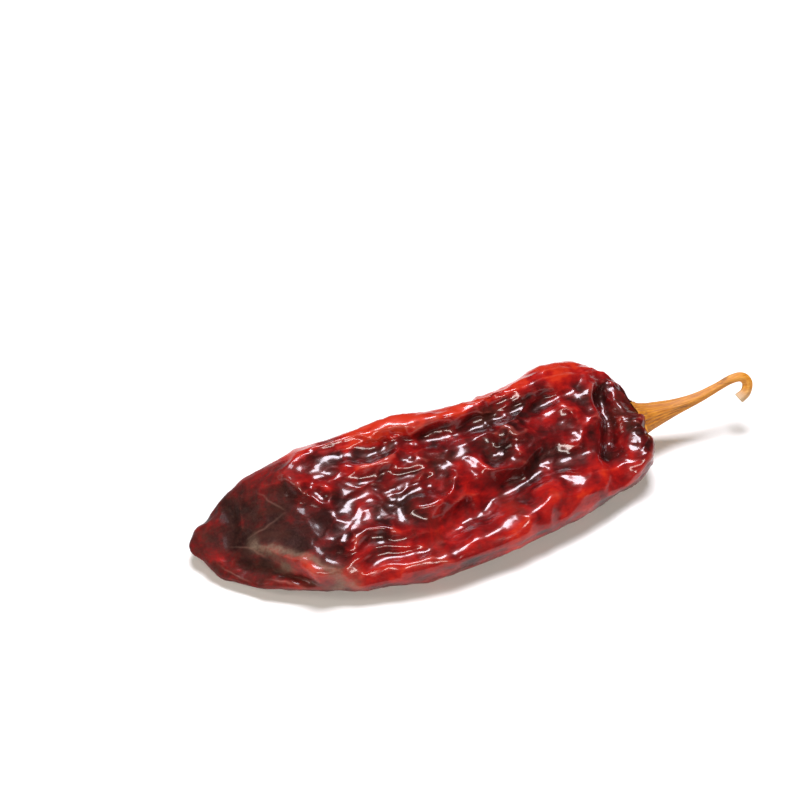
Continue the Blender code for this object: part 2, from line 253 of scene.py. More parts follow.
# The skin as a cloth mesh: rings and columns of the first, coarser one, how far its end rings are
# from the ends, how many times life size it is while it moves, the steps of its weights, how far
# inside the solid's surface it lies, and where that begins at either end.
RINGS = 206
END_RING = 0.9 * MM
TOP_COLUMNS = 74
UNDER_COLUMNS = 42
CLOTH_SCALE = 20
WEIGHT_STEPS = 20
SKIN_INSET = 0.3 * MM
INSET_FROM_STALK = (6 * MM, 14 * MM)
INSET_FROM_TIP = 6 * MM

# How much larger the skin was before each round of drying, as a share: round the pod, along it,
# and more where it has gathered, of which this share is along the pod.
FRESH_GIRTH = 0.015
FRESH_LENGTH = 0.01
FRESH_GATHER = 0.17
SECOND_GROWTH = 0.012
SECOND_GATHER = 0.015
LENGTH_SHARE = 0.4

# How firmly the form holds the skin in each round, the cloth's greatest and least stiffness in
# bending, and the frames that the round takes.
FIRST_HOLD = 0.1
SECOND_HOLD = 0.32
FIRST_ROUND = {"bend": 3.5, "soft_bend": 0.3, "frames": 14}
SECOND_ROUND = {"bend": 0.22, "soft_bend": 0.10, "frames": 6}

# The skin crumples freely between its two ends, and less on the flanks: there the upright part of
# its normal is below the first value, and above the second the skin lies flat.
FREE_FROM_STALK = (5 * MM, 9 * MM)
FREE_FROM_TIP = (1 * MM, 16 * MM)
CALM_SIDES = (0.15, 0.7)
SIDE_SHARE = 0.75

# Rounds of smoothing that take out pleats finer than the mesh, that find a slow drift, and that
# crests and sharp edges are measured from. A crest this high goes from the darkest painted shade,
# in the hollows, to the reddest.
FINE_ROUNDS = 2
DRIFT_ROUNDS = 120
CREST_ROUNDS = 14
EDGE_ROUNDS = 4
CREST_SHADE_STEP = 0.7 * MM

# The collapsed hollows: the size and depth of each kind, how their pattern is drawn out along
# the pod and strays, slowly and in jags, and the size of the panels that have more of them.
HOLLOWS = ((14 * MM, 1.8 * MM), (7.5 * MM, 0.9 * MM), (4.2 * MM, 0.7 * MM))
HOLLOW_MEAN = 0.45
HOLLOW_STRETCH = 0.62
HOLLOW_DRIFT = 3.0 * MM
HOLLOW_DRIFT_SIZE = 9 * MM
HOLLOW_JAG = 0.8 * MM
HOLLOW_JAG_SIZE = 3 * MM
HOLLOW_PATCH = 16 * MM

# The fine pleats along the rim: their width, depth, drift and the size of their patches. Then the
# room below the solid's top in which heights are eased.
RIM_PLEAT = 2.3 * MM
RIM_PLEAT_DEPTH = 0.4 * MM
RIM_PLEAT_DRIFT = 1.3 * MM
RIM_PLEAT_PATCH = 12 * MM
TOP_ROOM = 1.5 * MM

# The stalk: its path from the stem end, in millimetres, and its radius at each point. Then the
# sides and steps of its mesh, how far its ribs turn along it in radians, and its ribs and fibres,
# with their depth as a share of the radius.
STALK_PATH = (
    (1.0, 0.0, 0.0, 5.4),
    (3.2, 0.0, 0.1, 4.6),
    (6.5, 0.1, 0.4, 3.7),
    (13.5, 0.2, 1.5, 2.35),
    (20.5, 0.1, 3.4, 1.6),
    (26.5, 0.5, 5.5, 1.25),
    (31.0, 0.9, 7.1, 1.3),
    (34.4, 0.7, 7.3, 1.42),
    (36.0, -0.5, 5.6, 1.5),
    (35.2, -2.0, 3.2, 1.5),
    (33.0, -2.6, 1.7, 1.6),
)
STALK_SIDES = 96
STALK_STEPS = 300
STALK_TURN = 0.9
STALK_RIBS = 5
RIB_DEPTH = 0.07
FIBRES = 26
FIBRE_DEPTH = 0.03

# The calyx that spreads at the stalk's foot: its lobes, its thickness, its rim as shares of the
# radius and of the thickness, and the gap between it and the pod.
CALYX_RADIUS = 6.6 * MM
CALYX_LOBES = 5
LOBE_REACH = 0.26
LOBE_MEAN = 0.6
CALYX_THICKNESS = 0.9 * MM
CALYX_STEPS = 14
CALYX_INNERMOST = 0.8 * MM
CALYX_RIM = ((1.0, 0.0), (1.025, 0.15), (1.04, 0.5), (1.02, 0.85), (0.97, 1.0), (0.9, 1.05))
GAP = 0.5 * MM

# The stalk's cut end: shares of its last ring, and how far proud of the cut each one stands.
CUT_END = ((0.86, 0.15 * MM), (0.62, 0.10 * MM), (0.5, -0.35 * MM), (0.2, -0.45 * MM))

# The photo's view: degrees from the near side and above the surface, and metres from the pod.
VIEW_AZIMUTH = -18
VIEW_ELEVATION = 50
VIEW_DISTANCE = 0.578
VIEW_ASIDE = 0.0059
VIEW_AHEAD = 0.0384
VIEW_LENS = 85

# Each light's name, place, size in metres, power in watts and colour. The key is a large softbox
# nearly overhead, and the others fill the shade in front and on the left.
LIGHTS = (
    ("key", (0.06, 0.18, 0.80), (0.34, 0.26), 10, "f0f2ff"),
    ("front", (-0.05, -0.66, 0.50), (0.40, 0.10), 3.6, "fffbf5"),
    ("left", (-0.60, 0.05, 0.40), (0.15, 0.35), 1.2, "fffbf5"),
)
SKY_STRENGTH = 0.05


def smooth(low, high, value):
    """0 below low, 1 above high and an eased step between them."""
    t = np.clip((value - low) / (high - low), 0, 1)
    return t * t * (3 - 2 * t)


def cell_values(cells, seed):
    """Three repeatable values from 0 to 1 for each whole-number cell."""
    n = cells.astype(np.int64)
    mixed = n[..., 0] * 73856093 ^ n[..., 1] * 19349663 ^ n[..., 2] * 83492791 ^ seed * 2654435
    out = []
    for turn in range(3):
        mixed = (mixed * 1103515245 + 12345 + turn * 40503) & 0x7FFFFFFF
        mixed = mixed ^ (mixed >> 15)
        out.append((mixed % 100003) / 100003)
    return np.stack(out, axis=-1)


def wander(points, size, seed):
    """A smooth random vector at each point, from about -1 to 1, changing over that size."""
    scaled = points / size
    floor = np.floor(scaled)
    part = scaled - floor
    ease = part * part * (3 - 2 * part)
    total = np.zeros_like(points)
    for corner in np.ndindex(2, 2, 2):
        corner = np.array(corner)
        weight = np.prod(np.where(corner, ease, 1 - ease), axis=-1)
        total += weight[..., None] * (2 * cell_values(floor + corner, seed) - 1)
    return total


def hollows(points, size, seed):
    """Smooth hollows that meet in sharp ridges: 0 in a hollow's middle, about 1 on a ridge."""
    scaled = points / size
    floor = np.floor(scaled)
    nearest = np.full(points.shape[:-1], 9.0)
    for step in np.ndindex(3, 3, 3):
        cell = floor + np.array(step) - 1
        away = scaled - cell - 0.1 - 0.8 * cell_values(cell, seed)
        nearest = np.minimum(nearest, np.sum(away * away, axis=-1))
    return np.clip(nearest / 0.75, 0, 1.4)


def rounding(value, reach, first, second):
    """Grows from 0 at an end to 1 over reach, as a blunt end does."""
    left = 1 - np.clip(value / reach, 0, 1)
    return (1 - left**first) ** (1 / second)


def half_width(xi):
    tapered = np.clip((xi - WIDEST_AT) / (1 - WIDEST_AT), 0, 1)
    return HALF_WIDTH * rounding(xi, WIDEST_AT, *STEM_END_ROUNDING) * (1 - tapered**TIP_TAPER) ** 0.5


def half_height(xi):
    tapered = np.clip((xi - FULL_HEIGHT_TO) / (1 - FULL_HEIGHT_TO), 0, 1)
    risen = rounding(xi, FULL_HEIGHT_FROM, *SHOULDER_ROUNDING)
    return HALF_HEIGHT * risen * (1 - tapered**THINNING) ** 0.5


def spine(xi):
    """The section's middle: across and up, at that share of the length from the stem end."""
    level = half_height(xi) - SINK
    up = STEM_END_HEIGHT + (level - STEM_END_HEIGHT) * smooth(0, STEM_END_SHARE, xi)
    up = up + (TIP_HEIGHT - up) * smooth(1 - TIP_SHARE, 1, xi)
    return -BOW * np.sin(math.pi * xi**BOW_LEAN), up


def profile_table():
    """Shares of the length, and how far along the pod's outline each of them lies."""
    xi = 0.5 - 0.5 * np.cos(np.linspace(0, math.pi, 1200))
    steps = np.hypot(np.diff(xi) * POD_LENGTH, np.diff(half_width(xi)))
    reach = np.concatenate([[0], np.cumsum(steps)])
    return xi, reach


PROFILE_XI, PROFILE_REACH = profile_table()
OUTLINE = PROFILE_REACH[-1]


def section(turn, xi):
    """The cross-section's outline at a place on its control polygon, rounder near the ends."""
    control = np.array(SECTION)
    angle = np.arctan2(control[:, 1], control[:, 0])
    circle = np.stack([np.cos(angle), np.sin(angle)], axis=-1) * ROUND_END_RADIUS
    count = len(control)
    index = np.floor(turn).astype(int)
    t = turn - index
    weights = (
        (1 - t) ** 3 / 6,
        (3 * t**3 - 6 * t**2 + 4) / 6,
        (-3 * t**3 + 3 * t**2 + 3 * t + 1) / 6,
        t**3 / 6,
    )
    blend = np.maximum(1 - smooth(0, ROUND_END, xi), smooth(1 - ROUND_END, 1, xi))[..., None]
    total = 0
    for offset, weight in zip((-1, 0, 1, 2), weights):
        which = (index + offset) % count
        total = total + weight[..., None] * (control[which] * (1 - blend) + circle[which] * blend)
    return total


def base(reach, turn):
    """The pod before it crinkled: metres along its outline from the stem end, and round it."""
    reach, turn = np.broadcast_arrays(reach, turn)
    xi = np.interp(reach, PROFILE_REACH, PROFILE_XI)
    across, up = spine(xi)
    outline = section(turn, xi)
    far = 1 + np.interp(xi, *zip(*RIM_REACH)) * smooth(0, 0.8, outline[..., 0])
    socket = SOCKET_DEPTH * np.exp(-((reach / SOCKET_RADIUS) ** 2))
    return np.stack([
        POD_LENGTH * (0.5 - xi) - socket,
        across + half_width(xi) * outline[..., 0] * far,
        up + half_height(xi) * outline[..., 1],
    ], axis=-1)


def outward(reach, turn):
    """The unit normal of the base form."""
    along = base(reach + 0.2 * MM, turn) - base(reach - 0.2 * MM, turn)
    around = base(reach, turn + 0.02) - base(reach, turn - 0.02)
    normal = np.cross(around, along)
    return normal / np.linalg.norm(normal, axis=-1, keepdims=True)


def smooth_line(points):
    """Close points on a smooth curve through the given ones."""
    ends = [2 * points[0] - points[1], *points, 2 * points[-1] - points[-2]]
    line = []
    for a, b, c, d in zip(ends, ends[1:], ends[2:], ends[3:]):
        for t in np.linspace(0, 1, 6, endpoint=False):
            line.append(0.5 * (2 * b + (c - a) * t + (2 * a - 5 * b + 4 * c - d) * t * t
                               + (3 * b - a - 3 * c + d) * t**3))
    return np.array(line + [points[-1]])


def from_line(line, plan):
    """How far each plan point is from a line, and at what share of the line it is nearest."""
    distance = np.full(plan.shape[:-1], 1.0)
    share = np.zeros(plan.shape[:-1])
    pieces = len(line) - 1
    for i, (a, b) in enumerate(zip(line, line[1:])):
        edge = b - a
        t = np.clip(((plan - a) @ edge) / (edge @ edge), 0, 1)
        away = np.linalg.norm(plan - a - t[..., None] * edge, axis=-1)
        nearer = away < distance
        distance = np.where(nearer, away, distance)
        share = np.where(nearer, (i + t) / pieces, share)
    return distance, share


def plan_of(points):
    """Metres from the stem end and across the spine, of points in the pod's own place."""
    xi = np.clip(0.5 - points[..., 0] / POD_LENGTH, 0, 1)
    across, _ = spine(xi)
    return np.stack([xi * POD_LENGTH, points[..., 1] - across], axis=-1)


def folds(points, plan, upper):
    """The named folds and grooves of the upper side."""
    bent = plan + FOLD_WANDER * wander(points, FOLD_WANDER_SIZE, 31)[..., :2]
    bent += FOLD_JAG * wander(points, FOLD_JAG_SIZE, 33)[..., :2]
    total = np.zeros(points.shape[:-1])
    for _, height, width, line in FOLDS:
        distance, share = from_line(smooth_line(np.array(line) * MM), bent)
        away = distance / (max(width, FINEST_FOLD) * MM)
        away = np.hypot(away, CREST_ROUNDING) - CREST_ROUNDING
        fade = np.sin(math.pi * np.clip(share, 0.02, 0.98)) ** 0.6
        total += height * MM * fade * np.exp(-away if height > 0 else -(away**2))
    return total * upper


def puckers(points, reach, turn):
    """Radial pleats round the stalk's socket."""
    wobble = 0.16 * wander(points, 8 * MM, 41)[..., 0]
    pleat = 1 - np.abs(np.sin(math.pi * (PUCKERS * turn / len(SECTION) + wobble)))
    band = np.exp(-(((reach - PUCKER_REACH) / (0.5 * PUCKER_REACH)) ** 2))
    return PUCKER_DEPTH * band * (pleat - 0.4)


def relief(points, normal, reach, turn):
    """How far the larger folds stand out from the base form, in metres."""
    plan = plan_of(points)
    upper = smooth(-0.05, 0.45, normal[..., 2])
    shifted = points + DRIFT * wander(points, DRIFT_SIZE, 3)
    stretched = shifted * np.array([STRETCH, 1.0, 1.0])
    total = SWELL_DEPTH * wander(points, SWELL_SIZE, 17)[..., 0]
    total += PANEL_DEPTH * (hollows(stretched, PANEL_SIZE, 11) - HOLLOW_MEAN)
    creases = 1 - np.abs(wander(stretched, CREASE_SIZE, 5)[..., 0]) * 2.4
    total += CREASE_DEPTH * (np.maximum(creases, 0) ** 1.5 - 0.3)
    total += folds(points, plan, upper)
    total += puckers(points, reach, turn)
    return total * smooth(*SOCKET_CALM, reach) * smooth(0, TIP_CALM, OUTLINE - reach)


def skin(reach, turn, inset=0.0):
    """The folded pod's surface and its base normal, drawn in by the inset away from the ends."""
    reach, turn = np.broadcast_arrays(reach, turn)
    points = base(reach, turn)
    normal = outward(reach, turn)
    held = smooth(*INSET_FROM_STALK, reach) * smooth(0, INSET_FROM_TIP, OUTLINE - reach)
    lift = relief(points, normal, reach, turn) - inset * held
    return points + normal * lift[..., None], normal


def even_turns(reach, top, under):
    """Places round each ring in even steps, with one on the near edge and one on the rim."""
    turns = np.linspace(0, len(SECTION), 361)
    points = base(reach[:, None], turns[None, :])
    steps = np.linalg.norm(np.diff(points, axis=1), axis=-1)
    length = np.concatenate([np.zeros((len(reach), 1)), np.cumsum(steps, axis=1)], axis=1)
    rows = []
    for row in length:
        rim = np.interp(RIM_CONTROL, turns, row)
        wanted = np.concatenate([
            np.linspace(0, rim, top, endpoint=False),
            np.linspace(rim, row[-1], under, endpoint=False),
        ])
        rows.append(np.interp(wanted, row, turns))
    return np.array(rows)


def closed_mesh(name, grid):
    """A closed mesh through rings of points, with a point closing each end."""
    rows, columns = grid.shape[:2]
    index = np.arange(rows * columns).reshape(rows, columns)
    beside = np.roll(index, -1, axis=1)
    quads = np.stack([index[:-1], beside[:-1], beside[1:], index[1:]], axis=-1).reshape(-1, 4)
    first, last = rows * columns, rows * columns + 1
    ends = [(b, a, first) for a, b in zip(index[0].tolist(), beside[0].tolist())]
    ends += [(a, b, last) for a, b in zip(index[-1].tolist(), beside[-1].tolist())]
    points = np.concatenate([grid.reshape(-1, 3), grid[:1].mean(axis=1), grid[-1:].mean(axis=1)])
    mesh = bpy.data.meshes.new(name)
    mesh.from_pydata(points.tolist(), [], quads.tolist() + ends)
    mesh.shade_smooth()
    made = bpy.data.objects.new(name, mesh)
    bpy.context.scene.collection.objects.link(made)
    return made


def finer(grid):
    """Twice the rings and columns, each new point on a cubic through its neighbours."""
    rows, columns = grid.shape[:2]
    middle = (9 * (grid + np.roll(grid, -1, 1)) - np.roll(grid, 1, 1) - np.roll(grid, -2, 1)) / 16
    wide = np.stack([grid, middle], axis=2).reshape(rows, 2 * columns, 3)
    padded = np.concatenate([2 * wide[:1] - wide[1:2], wide, 2 * wide[-1:] - wide[-2:-1]])
    between = (9 * (padded[1:-2] + padded[2:-1]) - padded[:-3] - padded[3:]) / 16
    out = np.empty((2 * rows - 1, 2 * columns, 3))
    out[0::2] = wide
    out[1::2] = between
    return out


def finer_values(values):
    """The same for one value at each point of a grid."""
    return finer(np.repeat(values[..., None], 3, axis=-1))[..., 0]


def gathered(grid):
    """0 to 1: how closely the skin is crumpled there."""
    plan = plan_of(grid)
    top = smooth(*GATHER_HEIGHT, grid[..., 2])
    total = np.zeros(grid.shape[:2])
    for along, side, radius, amount in GATHERS:
        away = np.linalg.norm(plan - np.array([along, side]) * MM, axis=-1) / (radius * MM)
        seen = 1.0 if along < GATHER_ALL_ROUND else top
        total = np.maximum(total, amount * np.exp(-(away**2)) * seen)
    return total


def weigh(made, name, values):
    """A vertex group whose weights are the grid's values, in twenty steps. The end points are 1."""
    group = made.vertex_groups.new(name=name)
    flat = np.append(np.ravel(values), [1, 1])
    steps = np.round(np.clip(flat, 0, 1) * WEIGHT_STEPS).astype(int)
    for step in range(1, WEIGHT_STEPS + 1):
        group.add(np.where(steps == step)[0].tolist(), step / WEIGHT_STEPS, "REPLACE")
    return name


def draw_in(fresh, dried, hold, loose, bend, soft_bend, frames):
    """The skin as cloth. It starts as large as it was fresh and is drawn in to the dried form,
    so that it buckles as real skin does. Loose places bend the more easily."""
    made = closed_mesh("drying_skin", fresh * CLOTH_SCALE)
    made.shape_key_add(name="fresh")
    key = made.shape_key_add(name="dried")
    ends = (dried[:1].mean(axis=1), dried[-1:].mean(axis=1))
    target = np.concatenate([dried.reshape(-1, 3), *ends]) * CLOTH_SCALE
    key.data.foreach_set("co", target.astype(np.float32).ravel())
    key.value = 0
    key.keyframe_insert("value", frame=1)
    key.value = 1
    key.keyframe_insert("value", frame=max(2, int(frames * 0.7)))
    cloth = made.modifiers.new("cloth", "CLOTH").settings
    # Stiff in its own plane and well damped: it folds, and neither stretches nor ripples.
    cloth.quality = 5
    cloth.mass = 0.1
    cloth.air_damping = 3.0
    cloth.tension_stiffness = 40
    cloth.compression_stiffness = 40
    cloth.shear_stiffness = 20
    cloth.bending_stiffness = soft_bend
    cloth.bending_stiffness_max = bend
    cloth.bending_damping = 0.5
    cloth.vertex_group_bending = weigh(made, "stiff", 1 - loose)
    cloth.vertex_group_mass = weigh(made, "held", hold)
    cloth.pin_stiffness = 1.0
    cloth.effector_weights.gravity = 0
    scene = bpy.context.scene
    for step in range(1, frames + 1):
        scene.frame_set(step)
    result = made.evaluated_get(bpy.context.evaluated_depsgraph_get()).to_mesh()
    points = np.empty(len(result.vertices) * 3, np.float32)
    result.vertices.foreach_get("co", points)
    bpy.data.objects.remove(made)
    scene.frame_set(1)
    count = dried.shape[0] * dried.shape[1]
    return points.reshape(-1, 3)[:count].reshape(dried.shape) / CLOTH_SCALE


def grown(grid, girth, length):
    """The grid at its fresh size: larger round its rings' middles and along the pod."""
    out = grid.copy()
    middle = grid.mean(axis=1, keepdims=True)
    out[..., 1:] += (grid - middle)[..., 1:] * girth[..., None]
    steps = np.diff(middle[:, 0, 0])
    local = length.mean(axis=1)
    out[1:, :, 0] += np.cumsum(steps * (local[1:] + local[:-1]) / 2)[:, None]
    return out


def grid_normals(grid):
    """Unit normals of a closed grid of rings."""
    around = np.roll(grid, -1, axis=1) - np.roll(grid, 1, axis=1)
    along = np.gradient(grid, axis=0)
    normal = np.cross(around, along)
    return normal / np.maximum(np.linalg.norm(normal, axis=-1, keepdims=True), 1e-12)


def softened(grid, rounds):
    """The grid with its detail evened out, a little more each round."""
    for _ in range(rounds):
        across = (np.roll(grid, 1, axis=1) + 2 * grid + np.roll(grid, -1, axis=1)) / 4
        padded = np.concatenate([across[:1], across, across[-1:]])
        grid = (padded[:-2] + 2 * padded[1:-1] + padded[2:]) / 4
    return grid


def settled(drawn, form, free):
    """The drawn-in skin without its pleats finer than the mesh, its crumples set on the form."""
    crumples = softened(drawn, FINE_ROUNDS) - form
    crumples -= softened(crumples, DRIFT_ROUNDS)
    out = form + crumples * free[..., None]
    out[..., 2] = np.maximum(out[..., 2], 0)
    return out


def crinkles(grid, loose):
    """How far the skin stands out between its collapsed hollows, in metres. The hollows of each
    size meet in sharp ridges: the largest are everywhere, the next in some panels more than in
    others, and the smallest only where the skin has gathered. Fine pleats follow the rim."""
    shifted = grid + HOLLOW_DRIFT * wander(grid, HOLLOW_DRIFT_SIZE, 81)
    shifted += HOLLOW_JAG * wander(grid, HOLLOW_JAG_SIZE, 85)
    shifted *= np.array([HOLLOW_STRETCH, 1.0, 1.0])
    patchy = 0.7 + 0.8 * wander(grid, HOLLOW_PATCH, 84)[..., 0] + 0.5 * loose
    across = plan_of(grid)[..., 1]
    bent = across + RIM_PLEAT_DRIFT * wander(grid, HOLLOW_DRIFT_SIZE, 86)[..., 0]
    pleats = 1 - np.abs(np.sin(math.pi * bent / RIM_PLEAT))
    pleats *= np.clip(0.6 + 0.8 * wander(grid, RIM_PLEAT_PATCH, 87)[..., 0], 0, 1)
    total = RIM_PLEAT_DEPTH * pleats * smooth(RIM_GLOW_FROM, RIM_GLOW_FULL, across)
    shares = (1, np.clip(patchy, 0.2, 1.4), loose)
    for seed, ((size, depth), share) in enumerate(zip(HOLLOWS, shares)):
        total += share * depth * (hollows(shifted, size, 82 + seed) - HOLLOW_MEAN)
    return total


def buckled(form, loose, free):
    """The form's skin after both rounds of drying, on the finer grid."""
    hold = 1 - (1 - FIRST_HOLD) * np.minimum(4 * free, 1)
    fresh = grown(form, (FRESH_GIRTH + FRESH_GATHER * loose) * free,
                  (FRESH_LENGTH + LENGTH_SHARE * FRESH_GATHER * loose) * free)
    first = settled(draw_in(fresh, form, hold, loose, **FIRST_ROUND), form, free)

    fine = finer(first)
    free = finer_values(free)
    loose = smooth(0.1, 0.8, gathered(fine))
    hold = 1 - (1 - SECOND_HOLD * (1 - 0.5 * loose)) * np.minimum(4 * free, 1)
    growth = (SECOND_GROWTH + SECOND_GATHER * loose) * free
    fresh = grown(fine, growth, LENGTH_SHARE * growth)
    return settled(draw_in(fresh, fine, hold, loose, **SECOND_ROUND), fine, free)


def under_top(height):
    """Heights near the solid's top eased down, so that no crease stands above it."""
    limit = solid_box[1][2] - TOP_ROOM
    return np.where(height > limit, limit + TOP_ROOM * np.tanh((height - limit) / TOP_ROOM), height)


def dried_skin():
    """The pod's crumpled skin as a fine grid of points."""
    reach = np.linspace(END_RING, OUTLINE - END_RING, RINGS)
    turns = even_turns(reach, TOP_COLUMNS, UNDER_COLUMNS)
    form, _ = skin(reach[:, None], turns, inset=SKIN_INSET)
    form[..., 2] = np.maximum(form[..., 2], 0)
    loose = gathered(form)
    free = smooth(*FREE_FROM_STALK, reach) * smooth(*FREE_FROM_TIP, OUTLINE - reach)
    flat = smooth(*CALM_SIDES, np.abs(grid_normals(form)[..., 2]))
    free = free[:, None] * (SIDE_SHARE + (1 - SIDE_SHARE) * flat)
    grid = buckled(form, loose, free)
    lift = crinkles(grid, gathered(grid)) * finer_values(free)
    grid += grid_normals(grid) * lift[..., None]
    grid[..., 2] = np.maximum(under_top(grid[..., 2]), 0)
    return grid


def patches(plan, spots):
    """0 to 1: the strongest of the named patches at each place."""
    total = np.zeros(plan.shape[:-1])
    for along, side, reach, width, amount in spots:
        away = np.hypot(plan[..., 0] / MM - along, (plan[..., 1] / MM - side) * reach / width) / reach
        total = np.maximum(total, amount * np.exp(-(away**2)))
    return total


def finish_maps(grid, normal):
    """What the finish follows: each a value from 0 to 1 at every point."""
    plan = plan_of(grid)
    ragged = plan + PATCH_WANDER * wander(grid, PATCH_WANDER_SIZE, 51)[..., :2]
    ragged += PATCH_JAG * wander(grid, PATCH_JAG_SIZE, 52)[..., :2]
    upper = smooth(-0.3, 0.2, normal[..., 2])
    # The rim's glow: painted light coming through the thin skin, stronger higher up.
    rim = smooth(RIM_GLOW_FROM, RIM_GLOW_FULL, ragged[..., 1])
    rim *= smooth(0, RIM_GLOW_FADE, RIM_GLOW_UNTIL - plan[..., 0])
    rim *= np.clip(0.68 + 0.5 * wander(grid, RIM_GLOW_PATCH, 53)[..., 0], 0, 1)
    rim *= 0.25 + 0.75 * smooth(*RIM_GLOW_HEIGHT, grid[..., 2])
    # Crests and sharp edges stand out from the smoothed skin round them.
    crest = np.einsum("ijk,ijk->ij", grid - softened(grid, CREST_ROUNDS), normal)
    edge = np.einsum("ijk,ijk->ij", grid - softened(grid, EDGE_ROUNDS), normal)
    edge /= np.sqrt(np.mean(edge**2))
    taupe = from_line(smooth_line(np.array(SHEEN_RIDGE) * MM), ragged)[0]
    return {
        "taupe": np.exp(-((taupe / SHEEN_REACH) ** 2)) * upper,
        "glow": np.maximum(patches(ragged, GLOWS) * upper, rim),
        # Dark patches where the skin dried nearly black, and painted shade on the underside.
        "dark": np.maximum(patches(ragged, DARKS) * upper, UNDERSIDE_SHADE * (1 - upper)),
        "dull": smooth(*DULL_ALONG, ragged[..., 0]) * smooth(*DULL_ACROSS, ragged[..., 1]),
        # Painted shade: darker in the hollows, redder on the crests.
        "crest": np.clip(0.5 + crest / CREST_SHADE_STEP, 0, 1),
        "flank": 1 - smooth(-0.1, 0.55, normal[..., 2]),
        # The sharpest creases: rubbed pale, and a painted highlight along their crests.
        "edge": np.clip(0.4 * edge - 0.5, 0, 1) * upper,
    }


def hairlines(plan):
    """1 along the hairline wrinkles, falling to 0 beside them."""
    total = np.zeros(plan.shape[:-1])
    for line in HAIRLINES:
        away, share = from_line(smooth_line(np.array(line) * MM), plan)
        fade = np.sin(math.pi * np.clip(share, 0, 1))
        total = np.maximum(total, fade * np.exp(-((away / HAIR_WIDTH) ** 2)))
    return total


def store(made, maps):
    """Keeps the maps on the mesh's points, for its material."""
    for name, values in maps.items():
        kept = made.data.attributes.new(name, "FLOAT", "POINT")
        flat = np.concatenate([np.ravel(values), [values[0].mean(), values[-1].mean()]])
        kept.data.foreach_set("value", flat.astype(np.float32))


def linear(hex_colour):
    """An sRGB hex colour as the linear RGBA that shaders take."""
    out = []
    for i in (0, 2, 4):
        value = int(hex_colour[i:i + 2], 16) / 255
        out.append(value / 12.92 if value <= 0.04045 else ((value + 0.055) / 1.055) ** 2.4)
    return (*out, 1.0)


def add(tree, kind, sockets, **settings):
    """Adds a node with its settings, and sets its sockets to values or links them to sockets."""
    node = tree.nodes.new("ShaderNode" + kind)
    for name, value in settings.items():
        if name == "stops":
            while len(node.color_ramp.elements) < len(value):
                node.color_ramp.elements.new(0.5)
            for element, (place, colour) in zip(node.color_ramp.elements, value):
                element.position = place
                element.color = linear(colour)
        else:
            setattr(node, name, value)
    for name, value in sockets.items():
        if isinstance(value, bpy.types.NodeSocket):
            tree.links.new(value, node.inputs[name])
        else:
            node.inputs[name].default_value = value
    return node


def per_metre(millimetres):
    """The scale that gives a pattern's features this size."""
    return 1 / (millimetres * MM)


def place_camera():
    """A camera that sees the pod as the photo does."""
    azimuth, elevation = math.radians(VIEW_AZIMUTH), math.radians(VIEW_ELEVATION)
    right = Vector((math.cos(azimuth), math.sin(azimuth), 0))
    ahead = Vector((-math.sin(azimuth), math.cos(azimuth), 0))
    back = -ahead * math.cos(elevation) + Vector((0, 0, math.sin(elevation)))
    middle = Vector((PLACE_X, PLACE_Y, 0)) - right * VIEW_ASIDE + ahead * VIEW_AHEAD
    camera = bpy.data.objects.new("camera", bpy.data.cameras.new("camera"))
    camera.data.lens = VIEW_LENS
    camera.location = middle + back * VIEW_DISTANCE
    camera.rotation_euler = (-back).to_track_quat("-Z", "Y").to_euler()
    bpy.context.scene.collection.objects.link(camera)
    bpy.context.scene.camera = camera


def light_studio():
    """Soft white light: each lamp faces the middle of the surface that the chilli lies on."""
    for name, place, size, power, colour in LIGHTS:
        light = bpy.data.lights.new(name, "AREA")
        light.shape = "RECTANGLE"
        light.size, light.size_y = size
        light.energy = power
        light.color = linear(colour)[:3]
        lamp = bpy.data.objects.new(name, light)
        lamp.location = place
        lamp.rotation_euler = (-Vector(place)).to_track_quat("-Z", "Y").to_euler()
        bpy.context.scene.collection.objects.link(lamp)
    world = bpy.data.worlds.new("studio")
    bpy.context.scene.world = world
    world.use_nodes = True
    world.node_tree.nodes["Background"].inputs["Color"].default_value = linear("ffffff")
    world.node_tree.nodes["Background"].inputs["Strength"].default_value = SKY_STRENGTH
    bpy.context.scene.view_settings.view_transform = "Standard"


def make_floor():
    """The white surface that the chilli lies on, for the renders only."""
    bpy.ops.mesh.primitive_plane_add(size=4)
    floor = bpy.context.object
    floor.name = "floor"
    material = bpy.data.materials.new("white paper")
    material.use_nodes = True
    shader = material.node_tree.nodes["Principled BSDF"]
    shader.inputs["Base Color"].default_value = linear("f5f1ea")
    shader.inputs["Roughness"].default_value = 0.9
    floor.data.materials.append(material)


